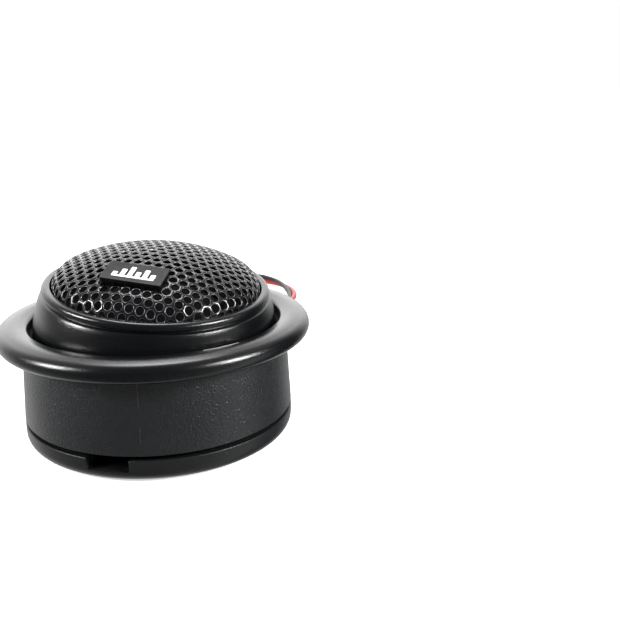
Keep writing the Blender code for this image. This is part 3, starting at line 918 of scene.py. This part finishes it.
heights = [BALL_TOP - BALL_DROP * step / BALL_STEPS for step in range(BALL_STEPS + 1)]
ball_band = [(on_ball(height), height) for height in heights]
build = bmesh.new()
sweep(build, rounded([
    (19.98, 27.1), (19.98, 29.62, 0.15), (21.6, 29.7, 0.85), (21.6, 28.45, 0.2), (21.2, 28.1, 0.1),
    (21.85, 27.8, 0.2), *ball_band, (21.1, 14.0, 0.15), (21.1, 26.0), (18.6, 26.0), (18.6, 27.1),
], 8))
for turn in (45.0, 225.0):
    pin_place = Matrix.Rotation(radians(turn), 4, "Z") @ Matrix.Translation((23.2, 0, SWIVEL_HEIGHT))
    bmesh.ops.create_cone(build, cap_ends=True, segments=24, radius1=PIN_RADIUS, radius2=PIN_RADIUS,
                          depth=1.6, matrix=pin_place @ Matrix.Rotation(pi / 2, 4, "Y"))
bezel = show_mesh("bezel", build, CORE, sharp=50)
finish_piece(bezel, "core", "satin_plastic", "satin_plastic", "bezel_housing")

# %% [markdown]
# ## The grille
#
# The grille starts as a flat steel sheet punched with round holes in a honeycomb, and is then
# pressed over a former into a low dome with a tight round shoulder. We make it the same way.
#
# One cell of the honeycomb is modelled once: a hexagon with a hole, whose rim is drawn down a
# little by the punch. Geometry Nodes lay out a grid of points, push every other row half a step
# along, drop the points too far out, put a cell on each, and weld them into one flat sheet. A
# Set Position node then presses the sheet: a point's distance from the centre becomes a length
# along the dome's profile, which is one arc for the crown, a tighter one for the shoulder, and
# a straight skirt that disappears into the bezel. A cell has only five dozen faces, because it
# is repeated about five hundred times. The top edge of its hole is marked, for a painted highlight in pale
# grey.

# %% One cell of the punched sheet
PITCH = 1.964
HOLE_RADIUS = 0.73
RIM_RADIUS = 0.88
EDGE = (HOLE_RADIUS + 0.07, -0.07)
HOLE_DEPTH = -0.22
SHEET = 0.42


def ring_of(radius, height):
    """Twelve points round a cell; no radius means the hexagon that it shares with its neighbours."""
    points = []
    for step in range(12):
        angle = radians(30 * step)
        edge = PITCH / 2 if step % 2 == 0 else PITCH / sqrt(3)
        reach = radius or edge
        points.append((reach * cos(angle), reach * sin(angle), height))
    return points


build = bmesh.new()
rim = build.verts.layers.float.new("rim")
levels = [ring_of(None, 0), ring_of(RIM_RADIUS, 0), ring_of(*EDGE), ring_of(HOLE_RADIUS, HOLE_DEPTH),
          ring_of(HOLE_RADIUS, -SHEET), ring_of(None, -SHEET)]
rings = [[build.verts.new(point) for point in level] for level in levels]
# These points get the painted highlight: the finish paints the hole's top edge pale grey.
for vert in rings[2]:
    vert[rim] = 1.0
for upper, lower in zip(rings, rings[1:]):
    for step in range(12):
        beside = (step + 1) % 12
        build.faces.new((upper[step], upper[beside], lower[beside], lower[step]))
cell_mesh = bpy.data.meshes.new("cell")
build.to_mesh(cell_mesh)
build.free()
cell = bpy.data.objects.new("cell", cell_mesh)
print("one cell has", len(cell_mesh.polygons), "faces")

# %% The dome's profile
CROWN = 39.8
SHOULDER = 4.35
GRILLE_RADIUS = 19.8
SHOULDER_HEIGHT = 28.7
turn_over = np.arcsin((GRILLE_RADIUS - SHOULDER) / (CROWN - SHOULDER))
crown_middle = SHOULDER_HEIGHT - (CROWN - SHOULDER) * cos(turn_over)
crown_length = CROWN * turn_over
shoulder_length = SHOULDER * (pi / 2 - turn_over)
apex = crown_middle + CROWN
print("the crown's arc is", round(crown_length, 1), "mm long and its top", round(apex, 1), "mm high")

# %% The tree that punches and presses the sheet
INPUTS = {
    "Cell": ("NodeSocketObject", cell),
    "Pitch": ("NodeSocketFloat", PITCH),
    "Turn": ("NodeSocketFloat", radians(-10.3)),
    "Shift X": ("NodeSocketFloat", 0.737),
    "Shift Y": ("NodeSocketFloat", -0.311),
    "Reach": ("NodeSocketFloat", 24.2),
    "Stretch": ("NodeSocketFloat", 0.05),
    "Crown radius": ("NodeSocketFloat", CROWN),
    "Crown length": ("NodeSocketFloat", float(crown_length)),
    "Shoulder radius": ("NodeSocketFloat", SHOULDER),
    "Shoulder length": ("NodeSocketFloat", float(shoulder_length)),
    "Crown middle": ("NodeSocketFloat", float(crown_middle)),
    "Finish": ("NodeSocketMaterial", finishes["painted_metal"]),
}
tree = bpy.data.node_groups.new("pressed grille", "GeometryNodeTree")
for name, (kind, _) in INPUTS.items():
    tree.interface.new_socket(name=name, in_out="INPUT", socket_type=kind)
tree.interface.new_socket(name="Geometry", in_out="OUTPUT", socket_type="NodeSocketGeometry")
sheet = Sheet(tree)
given = {name: sheet.node("NodeGroupInput", output=name) for name in INPUTS}

ROWS = 33
row_step = given["Pitch"] * (sqrt(3) / 2)
grid = sheet.node("GeometryNodeMeshGrid", None, {
    "Size X": given["Pitch"] * (ROWS - 1), "Size Y": row_step * (ROWS - 1),
    "Vertices X": ROWS, "Vertices Y": ROWS})


def parts_of(vector):
    """The three numbers of a vector."""
    return [sheet.node("ShaderNodeSeparateXYZ", None, {0: vector}, axis) for axis in "XYZ"]


x, y, z = parts_of(sheet.node("GeometryNodeInputPosition"))
row = sheet.node("ShaderNodeMath", {"operation": "ROUND"}, {0: y / row_step})
odd = sheet.node("ShaderNodeMath", {"operation": "PINGPONG"}, {0: row, 1: 1.0})
moved = sheet.node("ShaderNodeCombineXYZ", None, {
    "X": x + odd * given["Pitch"] * 0.5 + given["Shift X"], "Y": y + given["Shift Y"]})
turned = sheet.node("ShaderNodeVectorRotate", {"rotation_type": "Z_AXIS"}, {
    "Vector": moved, "Angle": given["Turn"]})
lattice = sheet.node("GeometryNodeSetPosition", None, {"Geometry": grid, "Position": turned})
GRILLE_REACH = 20.8


def along_sheet(x, y):
    """How far out a flat point lands along the pressed profile: the metal stretches as it bends."""
    reach = (x * x + y * y) ** 0.5
    return reach, reach * (1 + given["Stretch"] * (reach / GRILLE_REACH) ** 2)


x, y, z = parts_of(sheet.node("GeometryNodeInputPosition"))
_, out = along_sheet(x, y)
lattice = sheet.node("GeometryNodeDeleteGeometry", None, {
    "Geometry": lattice, "Selection": out.above(given["Reach"])})
rotation = sheet.node("ShaderNodeCombineXYZ", None, {"Z": given["Turn"]})
shape = sheet.node("GeometryNodeObjectInfo", None, {"Object": given["Cell"]}, "Geometry")
cells = sheet.node("GeometryNodeInstanceOnPoints", None, {
    "Points": lattice, "Instance": shape, "Rotation": rotation})
loose = sheet.node("GeometryNodeRealizeInstances", None, {"Geometry": cells})
flat = sheet.node("GeometryNodeMergeByDistance", None, {"Geometry": loose, "Distance": 0.02})

x, y, z = parts_of(sheet.node("GeometryNodeInputPosition"))
reach, out = along_sheet(x, y)
on_crown = out.at_most(given["Crown length"]) / given["Crown radius"]
past = (out - given["Crown length"]).at_least(0.0)
on_shoulder = past.at_most(given["Shoulder length"]) / given["Shoulder radius"]
on_skirt = (past - given["Shoulder length"]).at_least(0.0)
slope = on_crown + on_shoulder


def sine(angle):
    return sheet.node("ShaderNodeMath", {"operation": "SINE"}, {0: angle})


def cosine(angle):
    return sheet.node("ShaderNodeMath", {"operation": "COSINE"}, {0: angle})


radius = (sine(on_crown) * (given["Crown radius"] - given["Shoulder radius"])
          + sine(slope) * (given["Shoulder radius"] + z))
height = (given["Crown middle"] + cosine(on_crown) * (given["Crown radius"] - given["Shoulder radius"])
          + cosine(slope) * (given["Shoulder radius"] + z) - on_skirt)
scale = radius / reach.at_least(0.001)
bent = sheet.node("ShaderNodeCombineXYZ", None, {"X": x * scale, "Y": y * scale, "Z": height})
pressed = sheet.node("GeometryNodeSetPosition", None, {"Geometry": flat, "Position": bent})
painted = sheet.node("GeometryNodeSetMaterial", None, {"Geometry": pressed, "Material": given["Finish"]})
sheet.node("NodeGroupOutput", None, {"Geometry": painted})
print("the tree has", len(tree.nodes), "nodes")

# %% Press the grille
blank = bpy.data.objects.new("blank", bpy.data.meshes.new("blank"))
scene.collection.objects.link(blank)
press = blank.modifiers.new("press", "NODES")
press.node_group = tree
for item in tree.interface.items_tree:
    if item.in_out == "INPUT":
        press[item.identifier] = INPUTS[item.name][1]
settle(blank)
build = bmesh.new()
build.from_mesh(blank.data)
bpy.data.objects.remove(blank)
bpy.data.objects.remove(cell)
sweep(build, [(19.32, 27.25), (19.8, 27.25), (19.8, 28.2), (19.32, 28.2)])
grille = show_mesh("pressed_grille", build, CORE, sharp=72)
finish_piece(grille, "core", "painted_metal", "painted_metal", "grille")

# %% [markdown]
# ## The badge
#
# A small gloss plate with rounded corners sits near the front of the grille, level with the
# crown there. Its underside is hollowed to the grille's curve, so that no daylight shows below
# it. On it is a printed sign: six level bars on a strip, which is nobody's mark.

# %% Badge plate
BADGE_LENGTH = 11.2
BADGE_WIDTH = 6.25
BADGE_CENTRE = Vector((-1.95, -11.95, 35.5))
badge_place = CORE @ Matrix.Translation(BADGE_CENTRE * MM)
for angle, axis in ((-7.8, "Z"), (11.8, "X"), (1.6, "Y")):
    badge_place = badge_place @ Matrix.Rotation(radians(angle), 4, axis)


def slab(build, outline, low, high):
    """A flat outline given a thickness."""
    bottom = [build.verts.new((x, y, low)) for x, y in outline]
    top = [build.verts.new((x, y, high)) for x, y in outline]
    build.faces.new(list(reversed(bottom)))
    build.faces.new(top)
    for index in range(len(outline)):
        after = (index + 1) % len(outline)
        build.faces.new((bottom[index], bottom[after], top[after], top[index]))


SIGNS = ((-1, -1), (1, -1), (1, 1), (-1, 1))
corners = [(x * BADGE_LENGTH / 2, y * BADGE_WIDTH / 2, 0.45) for x, y in SIGNS]
build = bmesh.new()
slab(build, rounded(corners, 6), -3.0, 0.0)
plate = show_mesh("badge", build, badge_place)
soften(plate, 0.16, 3)
build = bmesh.new()
CLEAR = 0.05
shoulder_start = 90 - degrees(turn_over)
crown_arc = arc((0, crown_middle), CROWN + CLEAR, 89.99, shoulder_start, 24)
shoulder_arc = arc((GRILLE_RADIUS - SHOULDER, SHOULDER_HEIGHT), SHOULDER + CLEAR, shoulder_start, 0, 12)
sweep(build, [*crown_arc, *shoulder_arc[1:], (19.8, 20.0), (0.005, 20.0)], turns=96)
cut(plate, build, CORE)
finish_piece(plate, "core", "gloss_plate", "satin_plastic", "badge_plate")

# %% Printed sign
BARS = (1.5, 2.7, 3.7, 2.2, 3.2, 1.9)
STEP = 1.36
HALF_BAR = 0.43
STRIP = 0.5
FOOT = -1.9
build = bmesh.new()
for index, tall in enumerate(BARS):
    middle = (index - (len(BARS) - 1) / 2) * STEP
    left, right = middle - HALF_BAR, middle + HALF_BAR
    bar = [(left, FOOT + 0.44), (right, FOOT + 0.44), (right, FOOT + tall, 0.16), (left, FOOT + tall, 0.16)]
    slab(build, rounded(bar, 4), 0.004, 0.05)
end = (len(BARS) - 1) / 2 * STEP + HALF_BAR
strip = [(-end, FOOT, 0.16), (end, FOOT, 0.16), (end, FOOT + STRIP, 0.1), (-end, FOOT + STRIP, 0.1)]
slab(build, rounded(strip, 4), 0.003, 0.048)
sign = show_mesh("printed_bars", build, badge_place)
finish_piece(sign, "core", "white_print", "white_print", "badge_mark")

# %% [markdown]
# ## The dome
#
# Behind the grille is the part that makes the sound: a silk cap, doped to stiffen it, that the
# voice coil pushes to and fro. It is a thin shell of two spherical caps, lathed like the rest. A
# bead of glue just under its edge joins it to the coil's former and closes the slit there.

# %% Dome
DOME_RADIUS = 12.65
DOME_RISE = 4.1
DOME_FOOT = 24.6
SKIN = 0.25


def cap(radius, tall, foot, steps=24):
    """The outline of a spherical cap, from its edge to just short of its pole."""
    ball = (radius ** 2 + tall ** 2) / (2 * tall)
    lean = degrees(np.arcsin(radius / ball))
    return arc((0, foot + tall - ball), ball, 90 - lean, 89.95, steps)


build = bmesh.new()
outside = cap(DOME_RADIUS, DOME_RISE, DOME_FOOT)
inside = cap(DOME_RADIUS - SKIN, DOME_RISE - SKIN, DOME_FOOT)
sweep(build, [*outside, *reversed(inside)], turns=96)
sweep(build, [(12.52, 23.9), (13.0, 23.9), (13.0, 24.25), (12.52, 24.25)], turns=96)
dome = show_mesh("silk_dome", build, CORE)
finish_piece(dome, "diaphragm", "silk", "silk", "dome_diaphragm")

# %% [markdown]
# ## Everything out of sight
#
# The motor, the swivel ring, the clamp and the terminals have the right shape already. Their
# engineering meshes are loose flat triangles, which show facets under soft light, so a copy of
# each is welded and shaded smooth. The soft surround flexes with the dome, so it stays as it is.

# %% Smooth copies
HIDDEN = {
    "inner_plastic": ("cable_clamp", "swivel_ring", "mounting_ring", "rear_cover"),
    "plated_steel": ("clamp_screw_left", "clamp_screw_right", "yoke_cup", "pole_plate"),
    "nickel_magnet": ("magnet",),
    "felt": ("friction_ring", "damping_pad"),
    "copper": ("terminal_positive", "terminal_negative", "voice_coil"),
    "former_foil": ("coil_former",),
}
body_of = {node: body for body, nodes in frame["record"]["behaviour"]["bodies"].items() for node in nodes}
for finish, names in HIDDEN.items():
    for name in names:
        build = bmesh.new()
        build.from_mesh(bpy.data.objects[name].data)
        bmesh.ops.remove_doubles(build, verts=build.verts, dist=1e-6)
        bmesh.ops.scale(build, verts=build.verts, vec=(1 / MM,) * 3)
        copy = show_mesh(name + "_smooth", build, sharp=32)
        finish_piece(copy, body_of[name], finish, finish, name)
surround = bpy.data.objects["surround"]
surround.data.materials.clear()
surround.data.materials.append(finishes["silk"])
print("out of sight:", sum(len(names) for names in HIDDEN.values()), "copies")

# %% [markdown]
# ## The sizes
#
# The finished pieces have to fill the same box as the engineering model, so both boxes are printed.

# %% Sizes and finish
boxes = {"cad": [list(corner) for corner in cad_size], "visual": [list(corner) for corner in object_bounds()]}
for name, (low, high) in boxes.items():
    print(name, "box", [round((b - a) / MM, 1) for a, b in zip(low, high)], "mm")
